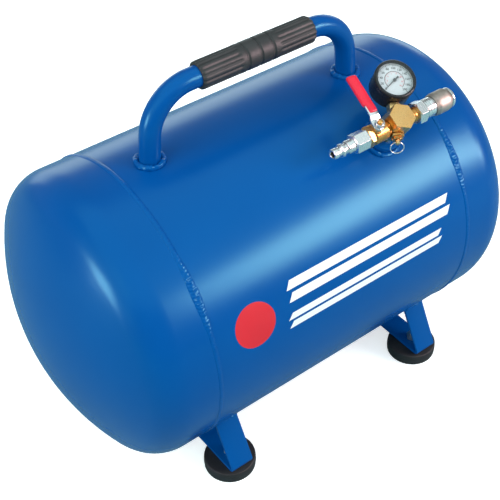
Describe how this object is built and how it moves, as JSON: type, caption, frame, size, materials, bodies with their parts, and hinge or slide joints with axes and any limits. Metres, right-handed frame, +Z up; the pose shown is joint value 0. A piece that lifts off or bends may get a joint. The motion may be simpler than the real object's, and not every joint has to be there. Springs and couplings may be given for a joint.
{
  "type": "portable air receiver tank",
  "caption": "Horizontal cylindrical air tank on rubber feet with a carry handle, and a manifold with gauge, ball valve, plug, relief valve and quick coupler.",
  "frame": {"origin": "centre of the four feet's contact plane, under the middle of the tank", "axes": "+X along the tank's axis towards the fittings' end, +Y towards the back, away from the fittings' side, +Z up"},
  "size_m": [0.4818, 0.2832, 0.3681],
  "materials": {
    "blue_powder_coat": "glossy powder coat on steel",
    "black_rubber": "matte moulded rubber",
    "grip_plastic": "soft matte moulded sleeve",
    "brass": "machined, lightly polished",
    "nickel_plate": "bright nickel plate",
    "zinc_plate": "zinc plated steel",
    "red_vinyl": "dipped vinyl",
    "gauge_black": "black enamel on steel",
    "dial_white": "white printed dial",
    "clear_lens": "clear flat lens",
    "ptfe": "natural white seal",
    "spring_steel": "bright spring wire"
  },
  "bodies": {
    "tank": {"air_plug": "nickel_plate", "bourdon_tube": "brass", "bung_weld": "blue_powder_coat", "carry_handle": "blue_powder_coat", "coupler_body": "nickel_plate", "coupler_end_ring": "nickel_plate", "drain_bung": "blue_powder_coat", "drain_plug": "zinc_plate", "front_left_foot_bolt": "zinc_plate", "front_left_foot_bracket": "blue_powder_coat", "front_left_foot_nut": "zinc_plate", "front_left_rubber_foot": "black_rubber", "front_right_foot_bolt": "zinc_plate", "front_right_foot_bracket": "blue_powder_coat", "front_right_foot_nut": "zinc_plate", "front_right_rubber_foot": "black_rubber", "gauge_bezel": "gauge_black", "gauge_case": "gauge_black", "gauge_dial": "dial_white", "gauge_lens": "clear_lens", "gauge_movement": "brass", "gauge_socket": "brass", "handle_grip": "grip_plastic", "handle_weld_left": "blue_powder_coat", "handle_weld_right": "blue_powder_coat", "left_head": "blue_powder_coat", "left_seam_weld": "blue_powder_coat", "manifold_block": "brass", "manifold_nipple": "brass", "poppet_spring": "spring_steel", "rear_left_foot_bolt": "zinc_plate", "rear_left_foot_bracket": "blue_powder_coat", "rear_left_foot_nut": "zinc_plate", "rear_left_rubber_foot": "black_rubber", "rear_right_foot_bolt": "zinc_plate", "rear_right_foot_bracket": "blue_powder_coat", "rear_right_foot_nut": "zinc_plate", "rear_right_rubber_foot": "black_rubber", "relief_body": "brass", "relief_spring": "spring_steel", "right_head": "blue_powder_coat", "right_seam_weld": "blue_powder_coat", "tank_bung": "blue_powder_coat", "tank_shell": "blue_powder_coat", "valve_body": "brass", "valve_inner_seat": "ptfe", "valve_outer_seat": "ptfe", "valve_packing_nut": "brass"},
    "valve_handle": {"valve_lever": "nickel_plate", "lever_sleeve": "red_vinyl", "lever_nut": "nickel_plate", "valve_stem": "brass", "valve_ball": "nickel_plate"},
    "pointer": {"gauge_pointer": "gauge_black"},
    "coupler_collar": {"coupler_sleeve": "nickel_plate"},
    "poppet": {"coupler_poppet": "brass"},
    "relief_pin": {"relief_stem": "brass"},
    "pull_ring": {"relief_pull_ring": "nickel_plate"}
  },
  "joints": [
    {"name": "valve_turn", "type": "hinge", "parent": "tank", "child": "valve_handle", "pos_m": [0.0573, -0.0916, 0.29534], "axis": [0, -0.3875, 0.9219], "range_deg": [0, 98.6]},
    {"name": "gauge_reading", "type": "hinge", "parent": "tank", "child": "pointer", "pos_m": [0.10185, -0.0646, 0.31274], "axis": [0.1205, 0.4779, -0.8701], "range_deg": [0, 270], "stiffness_Nm_per_rad": 0.0005},
    {"name": "collar_slide", "type": "slide", "parent": "tank", "child": "coupler_collar", "axis": [-1, 0, 0], "range_m": [0, 0.004], "stiffness_N_per_m": 1500, "springref_m": -0.003},
    {"name": "poppet_slide", "type": "slide", "parent": "tank", "child": "poppet", "axis": [-1, 0, 0], "range_m": [0, 0.0035], "stiffness_N_per_m": 600, "springref_m": -0.003, "deforming": ["poppet_spring"]},
    {"name": "relief_pull", "type": "slide", "parent": "tank", "child": "relief_pin", "axis": [-0.5, -0.728, -0.4691], "range_m": [0, 0.0012], "stiffness_N_per_m": 1500, "springref_m": -0.003, "deforming": ["relief_spring"]},
    {"name": "ring_swing", "type": "hinge", "parent": "relief_pin", "child": "pull_ring", "pos_m": [0.0743, -0.10471, 0.2869], "axis": [0.8243, -0.5662, 0], "range_deg": [-60, 60]}
  ]
}
